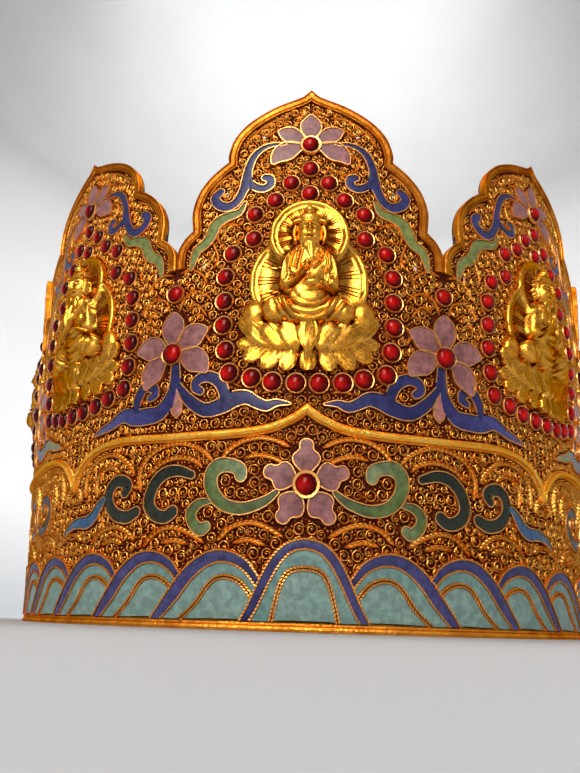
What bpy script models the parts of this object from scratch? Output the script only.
"""A gilt filigree crown: ten leaf panels with seated figures above a scrolled band.

Metres, +Z up. The crown stands on its rim, with the rim's centre at the origin and the front at -Y.
A piece is placed by an angle round the crown from the front, a height, and how far it stands off
the wall, which leans outwards as it rises.
"""

import math

import bmesh
import bpy
from mathutils import Matrix, Vector
from mathutils.geometry import delaunay_2d_cdt

# The ring
RIM_RADIUS = 0.0950
LEAN = 0.216
UPPER_LEAN = 0.193
LEAN_CHANGE_HEIGHT = 0.0712
PANELS = 10
GAP = 0.0003

# The band and its mouldings
BAND_WALL = 0.0012
RIM_HEIGHT = 0.0019
RIM_PROUD = 0.0014
RIM_FOOT_PROUD = 0.0010
RIDGE_PEAK_HEIGHT = 0.0447
RIDGE_NOTCH_HEIGHT = 0.0312
RIDGE_WIDTH = 0.0018
RIDGE_PROUD = 0.0016

# The wave border
ARCHES = 36
ARCH_HEIGHT = 0.0145
FRONT_ARCH_HEIGHT = 0.0172
ARCH_VALLEY_HEIGHT = 0.0098
WAVE_THICKNESS = 0.0007

# The leaf panels
CUSP_HEIGHT = 0.0830
TIP_HEIGHT = 0.1369
LEAF_THICKNESS = 0.0012
LEAF_BORDER_WIDTH = 0.0024
LEAF_BORDER_RISE = 0.0011
LEAF_FOLDS = (-0.5, 0, 0.5)
MITRE_LIMIT = 1.5

# The string of stones round each figure, and the crest flower above it
CREST_DROP = 0.0195
STRING_WIDTH = 0.0046
STRING_TOP_DROP = 0.0124
STRING_FOOT_CLEARANCE = 0.0028
STRING_HALF_ANGLE = math.radians(10.95)

# Stones and flowers
STONE_SIDES = 10
SMALL_STONE_RADIUS = 0.0026
BEZEL_HEIGHT = 0.0013
STONE_RISE = 0.0016
STONE_SHOULDER = 0.7
CUSP_STONE_DROP = 0.0068
PETAL_THICKNESS = 0.0008
PETAL_VALLEY = 0.52
POINTED_TIP = 0.19
LOBED_TIP = 0.30
CREST_PETAL_LENGTH = 0.0104
JOINT_PETAL_LENGTH = 0.0096
JOINT_FLOWER_CLEARANCE = 0.0042
JOINT_STONE_RADIUS = 0.0029
BAND_FLOWER_HEIGHT = 0.0284
BAND_PETAL_LENGTH = 0.0096
BAND_STONE_RADIUS = 0.0038

# The seated figure on its lotus throne, with a round halo behind it
FIGURE_FOOT_CLEARANCE = 0.0007
FIGURE_SIDE_CLEARANCE = 0.0012
FIGURE_TOP_CLEARANCE = 0.0022
FIGURE_DEPTH = 0.0054
FIGURE_FRONT = 0.6
BACKPLATE = 0.0012

SHARP_EDGE = math.radians(35)
SAME_POINT = 1e-6
PLACES = 7
PANEL_ANGLE = math.tau / PANELS
HALF_PANEL = PANEL_ANGLE / 2

# Heights that follow from the sizes above
STRING_RADIUS = STRING_WIDTH / 2
CREST_HEIGHT = TIP_HEIGHT - CREST_DROP
STRING_TOP_HEIGHT = CREST_HEIGHT - STRING_TOP_DROP
STRING_FOOT_HEIGHT = RIDGE_PEAK_HEIGHT + RIDGE_WIDTH / 2 + STRING_FOOT_CLEARANCE + STRING_RADIUS
CUSP_STONE_HEIGHT = CUSP_HEIGHT - CUSP_STONE_DROP
JOINT_FLOWER_TOP = CUSP_STONE_HEIGHT - SMALL_STONE_RADIUS - JOINT_FLOWER_CLEARANCE
JOINT_FLOWER_HEIGHT = JOINT_FLOWER_TOP - JOINT_PETAL_LENGTH
FIGURE_FOOT_HEIGHT = STRING_FOOT_HEIGHT + STRING_RADIUS + FIGURE_FOOT_CLEARANCE
FIGURE_TOP_HEIGHT = STRING_TOP_HEIGHT - STRING_RADIUS - FIGURE_TOP_CLEARANCE

# Half of one bracket of the ridge, from its peak to its notch
RIDGE_LINE = [
    # share of the half bracket, share of the rise from notch to peak
    (0.00, 1.00),
    (0.07, 0.80),
    (0.18, 0.63),
    (0.35, 0.59),
    (0.52, 0.60),
    (0.70, 0.67),
    (0.86, 0.60),
    (0.96, 0.36),
    (1.00, 0.00),
]

# The scalloped edge of a leaf's right half, from its tip to the cusp it shares with the next leaf
LEAF_EDGE = [
    # share of the half panel, share of the rise from cusp to tip
    (0.000, 1.000),
    (0.115, 0.935),
    (0.330, 0.865),
    (0.520, 0.755),
    (0.606, 0.575),
    (0.790, 0.465),
    (0.875, 0.330),
    (0.872, 0.200),
    (0.960, 0.130),
    (1.000, 0.000),
]

# The gaps pierced through a leaf's right half
LEAF_GAPS = [
    # across and up as in the leaf's edge, then the gap's half width and half height
    (0.340, 0.735, 0.075, 0.060),
    (0.620, 0.400, 0.070, 0.070),
    (0.790, 0.020, 0.065, 0.070),
]
GAP_CORNERS = 4

# The right half of the string of stones, from its top to its foot
STRING_LINE = [
    # share of the string's half angle, share of its height
    (0.00, 1.000),
    (0.24, 0.995),
    (0.42, 0.915),
    (0.66, 0.820),
    (0.72, 0.700),
    (0.94, 0.620),
    (1.00, 0.450),
    (1.00, 0.230),
    (0.92, 0.050),
    (0.20, 0.000),
]

# One arch of the wave border
ARCH_LINE = [
    # share of the arch's pitch from its middle, share of its rise above the valleys
    (-0.50, 0.00),
    (-0.20, 1.00),
    (0.20, 1.00),
]

# The figure in level sections, from the foot of its throne to the top of its halo
FIGURE_SECTIONS = [
    # share of the height, then shares of the half width and the depth:
    # rise, backplate width, body width, body depth
    (0.000, 0.10, 0.06, 0.30),  # lowest petal
    (0.050, 0.55, 0.45, 0.50),
    (0.110, 1.00, 0.90, 0.60),  # lower petals
    (0.190, 0.80, 0.72, 0.62),
    (0.260, 0.98, 0.88, 0.66),  # upper petals
    (0.290, 0.80, 0.60, 0.90),
    (0.350, 0.80, 0.58, 0.94),  # knees
    (0.410, 0.85, 0.30, 0.72),  # waist
    (0.500, 0.87, 0.40, 0.80),  # elbows
    (0.620, 0.76, 0.33, 0.68),  # shoulders
    (0.665, 0.66, 0.11, 0.60),  # neck
    (0.700, 0.60, 0.16, 0.90),  # chin
    (0.770, 0.61, 0.19, 1.00),
    (0.850, 0.55, 0.15, 0.90),  # crown of the head
    (0.905, 0.45, 0.06, 0.70),  # topknot
    (1.000, 0.14, 0.04, 0.23),
]

CREST_PETAL_TURNS = [math.radians(turn) for turn in (-112, -56, 0, 56, 112)]
EVEN_PETAL_TURNS = [math.tau * petal / 5 for petal in range(5)]

FINISHES = {
    # colour, roughness, metallic
    "filigree_gold": ((0.74, 0.41, 0.10), 0.42, 1.0),
    "figure_gold": ((0.95, 0.68, 0.22), 0.26, 1.0),
    "wave_enamel": ((0.36, 0.52, 0.50), 0.40, 0.0),
    "red_stone": ((0.45, 0.01, 0.01), 0.12, 0.0),
    "petal_enamel": ((0.42, 0.24, 0.27), 0.40, 0.0),
}


def clear_scene():
    """Empty the scene."""
    for obj in list(bpy.data.objects):
        bpy.data.objects.remove(obj)


def finish(name):
    """The named finish as a material, made once."""
    found = bpy.data.materials.get(name)
    if found:
        return found
    colour, roughness, metallic = FINISHES[name]
    material = bpy.data.materials.new(name)
    material.use_nodes = True
    shader = material.node_tree.nodes["Principled BSDF"]
    shader.inputs["Base Color"].default_value = (*colour, 1)
    shader.inputs["Roughness"].default_value = roughness
    shader.inputs["Metallic"].default_value = metallic
    material.diffuse_color = (*colour, 1)
    return material


def wall_radius(height):
    """Radius of the wall's outer face at this height."""
    low = min(height, LEAN_CHANGE_HEIGHT)
    high = max(height - LEAN_CHANGE_HEIGHT, 0)
    return RIM_RADIUS + LEAN * low + UPPER_LEAN * high


def on_wall(angle, height, out=0.0):
    """The point at this angle and height, this far out of the wall's outer face."""
    radius = wall_radius(height) + out
    return Vector((radius * math.sin(angle), -radius * math.cos(angle), height))


def seat(angle, height):
    """A frame just clear of the wall: X to the right, Y up the wall and Z straight out of it."""
    lean = LEAN if height < LEAN_CHANGE_HEIGHT else UPPER_LEAN
    right = Vector((math.cos(angle), math.sin(angle), 0))
    up = Vector((lean * math.sin(angle), -lean * math.cos(angle), 1)).normalized()
    outwards = right.cross(up)
    turn = Matrix((right, up, outwards)).transposed().to_4x4()
    return Matrix.Translation(on_wall(angle, height) + outwards * GAP) @ turn


def between(line, share):
    """The value that a table of (share, value) rows gives at this share."""
    for (low, first), (high, last) in zip(line, line[1:]):
        if share <= high:
            return first + (last - first) * (share - low) / (high - low)
    return line[-1][1]


def mirrored(line):
    """A table of a right half that starts on the middle line, as the whole from left to right."""
    return [(-across, *rest) for across, *rest in reversed(line[1:])] + list(line)


def ridge_height(angle):
    """Height of the ridge's middle line: a peak over every second leaf, a notch under the others."""
    share = abs((angle / PANEL_ANGLE + 1) % 2 - 1)
    rise = RIDGE_PEAK_HEIGHT - RIDGE_NOTCH_HEIGHT
    return RIDGE_NOTCH_HEIGHT + rise * between(RIDGE_LINE, share)


def ridge_angles():
    """The angles where the ridge bends, once round the crown from half a bracket before the front."""
    bends = [share for share, _ in mirrored(RIDGE_LINE)][:-1]
    return [(2 * bracket + share) * PANEL_ANGLE for bracket in range(PANELS // 2) for share in bends]


def finished_mesh(name, bm, material):
    """The bmesh as a mesh with its faces pointing out, shaded smooth except along its edges."""
    bmesh.ops.recalc_face_normals(bm, faces=bm.faces)
    mesh = bpy.data.meshes.new(name)
    bm.to_mesh(mesh)
    bm.free()
    mesh.materials.append(finish(material))
    mesh.shade_smooth()
    mesh.set_sharp_from_angle(angle=SHARP_EDGE)
    return mesh


def place(name, mesh, matrix=None):
    """Put a mesh in the scene as the object of this name."""
    obj = bpy.data.objects.new(name, mesh)
    bpy.context.scene.collection.objects.link(obj)
    if matrix is not None:
        obj.matrix_world = matrix
    return obj


def fused(name, bodies, material):
    """One body out of several overlapping ones, each a closed bmesh."""
    helpers = []
    for body in bodies:
        helpers.append(place("helper", finished_mesh("helper", body, material)))
    first, *others = helpers
    for other in others:
        union = first.modifiers.new("union", "BOOLEAN")
        union.operation = "UNION"
        union.object = other
    graph = bpy.context.evaluated_depsgraph_get()
    joined = bmesh.new()
    joined.from_object(first, graph)
    for helper in helpers:
        bpy.data.objects.remove(helper)
    return finished_mesh(name, joined, material)


def skin(sections, round_the_crown=False):
    """A body through sections that are closed loops of as many points, with its ends capped or joined."""
    bm = bmesh.new()
    loops = [[bm.verts.new(point) for point in section] for section in sections]
    after = loops[1:] + loops[:1] if round_the_crown else loops[1:]
    for here, there in zip(loops, after):
        for index, corner in enumerate(here):
            bm.faces.new((here[index - 1], corner, there[index], there[index - 1]))
    if not round_the_crown:
        bm.faces.new(loops[0])
        bm.faces.new(loops[-1])
    return bm


def plate(outline, low, high):
    """A flat plate of this outline, from one depth to another."""
    bm = bmesh.new()
    face = bm.faces.new([bm.verts.new((x, y, low)) for x, y in outline])
    raised = bmesh.ops.extrude_face_region(bm, geom=[face])["geom"]
    tops = [item for item in raised if isinstance(item, bmesh.types.BMVert)]
    bmesh.ops.translate(bm, verts=tops, vec=(0, 0, high - low))
    return bm


def disc(radius, sides):
    """Corners of a round outline about the middle, with a corner at the top."""
    turns = [math.tau * side / sides for side in range(sides)]
    return [(radius * math.sin(turn), radius * math.cos(turn)) for turn in turns]


def bezel_stone(radius, foot=0.0):
    """A cabochon in its bezel: straight sides, then a dome."""
    shoulder = BEZEL_HEIGHT + STONE_RISE * STONE_SHOULDER
    rings = [(radius, foot), (radius, BEZEL_HEIGHT), (radius * STONE_SHOULDER, shoulder)]
    bm = skin([[(x, y, height) for x, y in disc(ring, STONE_SIDES)] for ring, height in rings])
    bm.faces.ensure_lookup_table()
    bmesh.ops.poke(bm, faces=[bm.faces[-1]], offset=BEZEL_HEIGHT + STONE_RISE - shoulder)
    return bm


def flower_outline(turns, length, tip_width):
    """A flower with petals along these turns from straight up, each with two corners at its tip."""
    step = min(after - before for before, after in zip(turns, turns[1:]))
    corners = []
    for turn, after in zip(turns, turns[1:] + [turns[0] + math.tau]):
        corners += [(turn - tip_width * step, length), (turn + tip_width * step, length)]
        corners.append(((turn + after) / 2, PETAL_VALLEY * length))
    return [(-reach * math.sin(turn), reach * math.cos(turn)) for turn, reach in corners]


def flower(name, length, stone_radius, tip_width):
    """Five enamelled petals fused to the bezel of their stone."""
    petals = plate(flower_outline(EVEN_PETAL_TURNS, length, tip_width), 0, PETAL_THICKNESS)
    return fused(name, [petals, bezel_stone(stone_radius, PETAL_THICKNESS / 2)], "petal_enamel")


def band():
    """The band's wall with the rim moulding and the bracketed ridge soldered to it."""
    sections = []
    for angle in ridge_angles():
        low = ridge_height(angle) - RIDGE_WIDTH / 2
        high = low + RIDGE_WIDTH
        profile = [
            # out, height
            (-BAND_WALL, 0),
            (RIM_FOOT_PROUD, 0),
            (RIM_PROUD, RIM_HEIGHT / 2),
            (0, RIM_HEIGHT),
            (0, low),
            (RIDGE_PROUD, low),
            (RIDGE_PROUD, high),
            (-BAND_WALL, high),
        ]
        sections.append([on_wall(angle, height, out) for out, height in profile])
    place("band", finished_mesh("band", skin(sections, round_the_crown=True), "filigree_gold"))


def wave_border():
    """The enamelled row of arches round the foot of the band."""
    pitch = math.tau / ARCHES
    low = RIM_HEIGHT + GAP
    inner = GAP
    outer = GAP + WAVE_THICKNESS
    sections = []
    for arch in range(ARCHES):
        peak = ARCH_HEIGHT if arch else FRONT_ARCH_HEIGHT
        for share, rise in ARCH_LINE:
            angle = (arch + share) * pitch
            top = ARCH_VALLEY_HEIGHT + (peak - ARCH_VALLEY_HEIGHT) * rise
            corners = [(inner, low), (outer, low), (outer, top), (inner, top)]
            sections.append([on_wall(angle, height, out) for out, height in corners])
    place("wave_border", finished_mesh("wave_border", skin(sections, round_the_crown=True), "wave_enamel"))


def offset_inwards(line, distance):
    """The inner corners of an open line moved to its right-hand side, with mitres."""
    moved = []
    for before, here, after in zip(line, line[1:], line[2:]):
        first = (here - before).normalized()
        last = (after - here).normalized()
        mitre = Vector((first.y + last.y, -first.x - last.x)).normalized()
        stretch = min(1 / mitre.dot((first.y, -first.x)), MITRE_LIMIT)
        moved.append(here + mitre * distance * stretch)
    return moved


def runs(line):
    """The straight runs of a closed outline."""
    return list(zip(line, line[1:] + line[:1]))


def inside(point, outline):
    """Whether a flat point lies inside a closed outline."""
    crossings = 0
    for here, there in runs(outline):
        if (here.y > point.y) != (there.y > point.y):
            share = (point.y - here.y) / (there.y - here.y)
            crossings += here.x + share * (there.x - here.x) > point.x
    return crossings % 2 == 1


class FlatLeaf:
    """A leaf's outlines laid flat: the arc length from its middle at the cusp's height, and the height."""

    def __init__(self, middle):
        self.arc = wall_radius(CUSP_HEIGHT)
        self.half = HALF_PANEL * self.arc - GAP / 2
        self.edge = [self.at(across, up) for across, up in mirrored(LEAF_EDGE)]
        border_foot = CUSP_HEIGHT - LEAF_BORDER_WIDTH
        left = Vector((-self.half, border_foot))
        right = Vector((self.half, border_foot))
        self.inner = [left, *offset_inwards(self.edge, LEAF_BORDER_WIDTH), right]
        self.foot = self.foot_line(middle)
        self.whole = [*self.foot, right, *reversed(self.edge), left]
        self.border = [*self.inner, *reversed(self.edge)]
        self.gaps = [self.gap(*row) for row in LEAF_GAPS]
        self.gaps += [self.gap(-across, *rest) for across, *rest in LEAF_GAPS]

    def at(self, across, up):
        return Vector((across * self.half, CUSP_HEIGHT + up * (TIP_HEIGHT - CUSP_HEIGHT)))

    def gap(self, across, up, half_width, half_height):
        side = 1 if across > 0 else -1
        corners = disc(1, GAP_CORNERS)
        return [self.at(across + side * x * half_width, up + y * half_height) for x, y in corners]

    def foot_line(self, middle):
        """The leaf's lower edge, just clear of the ridge, bending where the ridge bends."""
        turns = [(angle - middle + math.pi) % math.tau - math.pi for angle in ridge_angles()]
        turns = [turn for turn in turns if abs(turn) < HALF_PANEL]
        line = []
        for turn in sorted([-HALF_PANEL, *turns, HALF_PANEL]):
            height = ridge_height(middle + turn) + RIDGE_WIDTH / 2 + GAP
            line.append(Vector((turn / HALF_PANEL * self.half, height)))
        return line


def flat_triangles(flat, cuts):
    """A leaf laid flat, as triangles of three points, cut along these straight runs and its folds."""
    cuts = list(cuts)
    for fold in LEAF_FOLDS:
        across = fold * flat.half
        cuts.append((Vector((across, 0)), Vector((across, TIP_HEIGHT + LEAF_BORDER_WIDTH))))
    points = [Vector(end) for cut in cuts for end in cut]
    edges = [(2 * index, 2 * index + 1) for index in range(len(cuts))]
    corners, _, triangles, *_ = delaunay_2d_cdt(points, edges, [], 0, SAME_POINT)
    kept = []
    for triangle in triangles:
        middle = sum((corners[index] for index in triangle), Vector((0, 0))) / 3
        if inside(middle, flat.whole) and not any(inside(middle, gap) for gap in flat.gaps):
            kept.append([tuple(round(value, PLACES) for value in corners[index]) for index in triangle])
    return kept


def leaf(name, middle):
    """A pierced, curved plate with a raised scalloped border, seated on the ridge."""
    flat = FlatLeaf(middle)
    bm = bmesh.new()
    made = {}

    def corner(point, depth):
        if (point, depth) not in made:
            made[point, depth] = bm.verts.new(on_wall(point[0] / flat.arc, point[1], depth))
        return made[point, depth]

    depths = {}
    outlines = [run for line in (flat.whole, *flat.gaps) for run in runs(line)]
    for triangle in flat_triangles(flat, outlines + list(zip(flat.inner, flat.inner[1:]))):
        centre = Vector((sum(point[0] for point in triangle), sum(point[1] for point in triangle))) / 3
        depth = LEAF_BORDER_RISE if inside(centre, flat.border) else 0
        bm.faces.new([corner(point, depth) for point in triangle])
        for run in runs(triangle):
            depths[run] = depth
    for triangle in flat_triangles(flat, [run for run in depths if run[::-1] not in depths]):
        bm.faces.new([corner(point, -LEAF_THICKNESS) for point in triangle])
    for (here, there), depth in depths.items():
        across = depths.get((there, here), -LEAF_THICKNESS)
        if across >= depth:
            continue
        wall = [corner(here, depth), corner(here, across), corner(there, across), corner(there, depth)]
        if across < 0 < depth:
            wall[3:3] = [made[there, 0]] if (there, 0) in made else []
            wall[1:1] = [made[here, 0]] if (here, 0) in made else []
        bm.faces.new(wall)
    return finished_mesh(name, bm, "filigree_gold")


def string_tube():
    """The closed string of stones round a figure, as a plain tube on the wall."""
    route = mirrored(STRING_LINE)
    curve = bpy.data.curves.new("string", "CURVE")
    curve.dimensions = "3D"
    curve.bevel_depth = STRING_RADIUS
    curve.bevel_resolution = 0
    spline = curve.splines.new("POLY")
    spline.points.add(len(route) - 1)
    spline.use_cyclic_u = True
    for point, (across, up) in zip(spline.points, route):
        height = STRING_FOOT_HEIGHT + up * (STRING_TOP_HEIGHT - STRING_FOOT_HEIGHT)
        point.co = (*on_wall(across * STRING_HALF_ANGLE, height, STRING_RADIUS + GAP), 1)
    helper = place("helper", curve)
    graph = bpy.context.evaluated_depsgraph_get()
    tube = bpy.data.meshes.new_from_object(helper.evaluated_get(graph))
    bm = bmesh.new()
    bm.from_mesh(tube)
    bmesh.ops.remove_doubles(bm, verts=bm.verts, dist=SAME_POINT)
    bpy.data.objects.remove(helper)
    return bm


def stone_string():
    """The string of stones with the short stem and the crest flower that close its top."""
    petals = plate(flower_outline(CREST_PETAL_TURNS, CREST_PETAL_LENGTH, POINTED_TIP), 0, PETAL_THICKNESS)
    half = SMALL_STONE_RADIUS
    foot = STRING_TOP_HEIGHT - CREST_HEIGHT
    stem = plate([(-half, foot), (half, foot), (half, half), (-half, half)], PETAL_THICKNESS / 2, BEZEL_HEIGHT)
    bodies = [petals, stem]
    for body in bodies:
        bmesh.ops.transform(body, matrix=seat(0, CREST_HEIGHT), verts=body.verts)
    return fused("stone_string", [string_tube(), *bodies], "red_stone")


def seated_figure():
    """A seated figure on a lotus throne in relief on its backplate, skinned through level sections."""
    string_reach = wall_radius(STRING_FOOT_HEIGHT) * math.sin(STRING_HALF_ANGLE)
    half_width = string_reach - STRING_RADIUS - FIGURE_SIDE_CLEARANCE
    height = FIGURE_TOP_HEIGHT - FIGURE_FOOT_HEIGHT
    sections = []
    for rise, plate_width, body_width, body_depth in FIGURE_SECTIONS:
        corners = [
            # across, depth
            (plate_width * half_width, 0),
            (plate_width * half_width, BACKPLATE),
            (body_width * half_width, BACKPLATE),
            (body_width * half_width * FIGURE_FRONT, body_depth * FIGURE_DEPTH),
        ]
        across = corners + [(-x, depth) for x, depth in reversed(corners)]
        sections.append([(x, rise * height, depth) for x, depth in across])
    return finished_mesh("seated_figure", skin(sections), "figure_gold")


def crown():
    """Every piece of the crown, each in its place."""
    band()
    wave_border()
    peak_leaf = leaf("peak_leaf", 0)
    notch_leaf = leaf("notch_leaf", PANEL_ANGLE)
    string = stone_string()
    figure = seated_figure()
    cusp_stone = finished_mesh("cusp_stone", bezel_stone(SMALL_STONE_RADIUS), "red_stone")
    joint_flower = flower("joint_flower", JOINT_PETAL_LENGTH, JOINT_STONE_RADIUS, POINTED_TIP)
    band_flower = flower("band_flower", BAND_PETAL_LENGTH, BAND_STONE_RADIUS, LOBED_TIP)
    for panel in range(PANELS):
        angle = panel * PANEL_ANGLE
        joint_angle = angle + HALF_PANEL
        number = panel + 1
        turned = Matrix.Rotation(angle, 4, "Z")
        place(f"leaf_{number}", notch_leaf if panel % 2 else peak_leaf, turned)
        place(f"stone_string_{number}", string, turned)
        place(f"figure_{number}", figure, seat(angle, FIGURE_FOOT_HEIGHT))
        place(f"cusp_stone_{number}", cusp_stone, seat(joint_angle, CUSP_STONE_HEIGHT))
        place(f"joint_flower_{number}", joint_flower, seat(joint_angle, JOINT_FLOWER_HEIGHT))
        if panel % 2 == 0:
            place(f"band_flower_{panel // 2 + 1}", band_flower, seat(angle, BAND_FLOWER_HEIGHT))


clear_scene()
crown()
